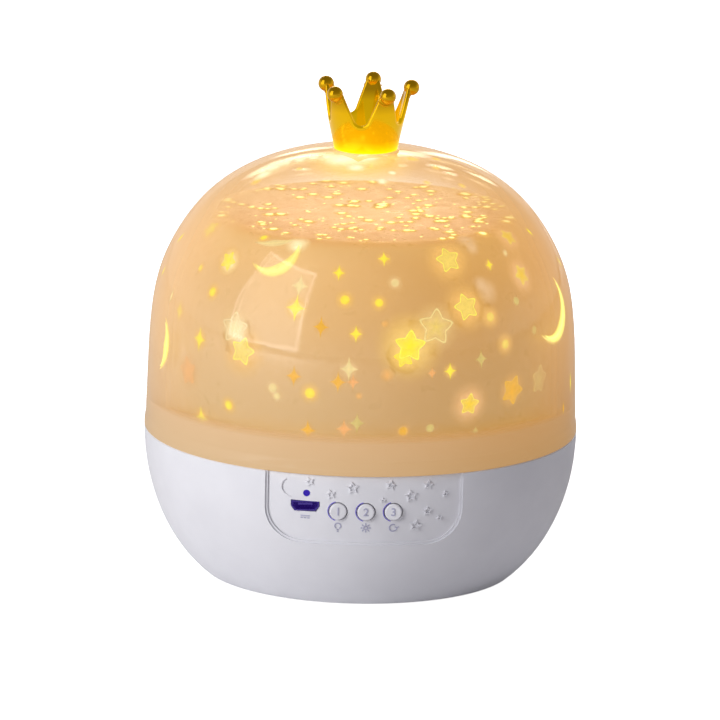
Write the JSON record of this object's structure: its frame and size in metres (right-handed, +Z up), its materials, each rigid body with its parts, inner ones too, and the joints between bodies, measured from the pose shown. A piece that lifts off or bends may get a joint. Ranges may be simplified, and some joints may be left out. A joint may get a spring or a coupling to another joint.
{
  "type": "star night light projector",
  "caption": "Dome night light with a clear amber cover, a gold crown, a turning star film cup and a white base with port and push buttons.",
  "frame": {"origin": "bottom centre, on the table under the feet", "axes": "+Z up, the control panel faces -Y, +X is to the right seen from the panel"},
  "size_m": [0.117, 0.117, 0.135],
  "materials": {
    "white_plastic": "satin moulded",
    "rubber": "matt",
    "screw_steel": "zinc plated",
    "gearbox_plastic": "matt",
    "motor_steel": "satin",
    "lamp_plastic": "satin",
    "board_white": "solder mask",
    "led_yellow": "glossy",
    "frosted_clear": "frosted",
    "board_green": "solder mask",
    "chip_black": "matt",
    "socket_steel": "satin",
    "light_guide": "clear, lit blue",
    "cell_wrap": "shrink wrap",
    "wire_red": "insulation",
    "gear_plastic": "satin",
    "pinion_plastic": "satin",
    "star_film": "printed film",
    "amber_clear": "glossy, translucent amber",
    "gold_chrome": "gold plated, polished"
  },
  "bodies": {
    "base": {"base_bowl": "white_plastic", "bottom_cover": "white_plastic", "rubber_feet": "rubber", "bottom_screws": "screw_steel", "deck_plate": "white_plastic", "deck_screws": "screw_steel", "gearbox": "gearbox_plastic", "motor": "motor_steel", "motor_screws": "screw_steel", "lamp_post": "lamp_plastic", "lamp_screws": "screw_steel", "led_board": "board_white", "led_emitters": "led_yellow", "bulb_lens": "frosted_clear", "control_board": "board_green", "board_screws": "screw_steel", "board_parts": "chip_black", "tact_switches": "chip_black", "usb_socket": "socket_steel", "indicator_light": "light_guide", "battery": "cell_wrap", "battery_holder": "lamp_plastic", "battery_contacts": "socket_steel", "lamp_lead": "wire_red", "motor_lead": "wire_red", "battery_lead": "wire_red"},
    "turntable": {"turntable": "gear_plastic", "film_cup": "star_film"},
    "pinion": {"drive_pinion": "pinion_plastic", "output_shaft": "screw_steel"},
    "cover": {"dome_cover": "amber_clear", "crown": "gold_chrome", "crown_clip": "screw_steel"},
    "lamp_button": {"button_lamp": "white_plastic"},
    "colour_button": {"button_colour": "white_plastic"},
    "turn_button": {"button_turn": "white_plastic"}
  },
  "joints": [
    {"name": "turntable_spin", "type": "hinge", "parent": "base", "child": "turntable", "pos_m": [0, 0, 0.042], "axis": [0, 0, 1], "continuous": true},
    {"name": "pinion_spin", "type": "hinge", "parent": "base", "child": "pinion", "pos_m": [0, 0.033, 0.041], "axis": [0, 0, 1], "continuous": true},
    {"name": "cover_lift", "type": "slide", "parent": "base", "child": "cover", "axis": [0, 0, 1], "range_m": [0, 0.09]},
    {"name": "lamp_button_press", "type": "slide", "parent": "base", "child": "lamp_button", "axis": [0, 1, 0], "range_m": [0, 0.0005], "stiffness_N_per_m": 400, "springref_m": -0.0004},
    {"name": "colour_button_press", "type": "slide", "parent": "base", "child": "colour_button", "axis": [0, 1, 0], "range_m": [0, 0.0005], "stiffness_N_per_m": 400, "springref_m": -0.0004},
    {"name": "turn_button_press", "type": "slide", "parent": "base", "child": "turn_button", "axis": [0, 1, 0], "range_m": [0, 0.0005], "stiffness_N_per_m": 400, "springref_m": -0.0004}
  ],
  "couplings": [
    {"joint": "pinion_spin", "follows": "turntable_spin", "ratio": 5.7143}
  ]
}
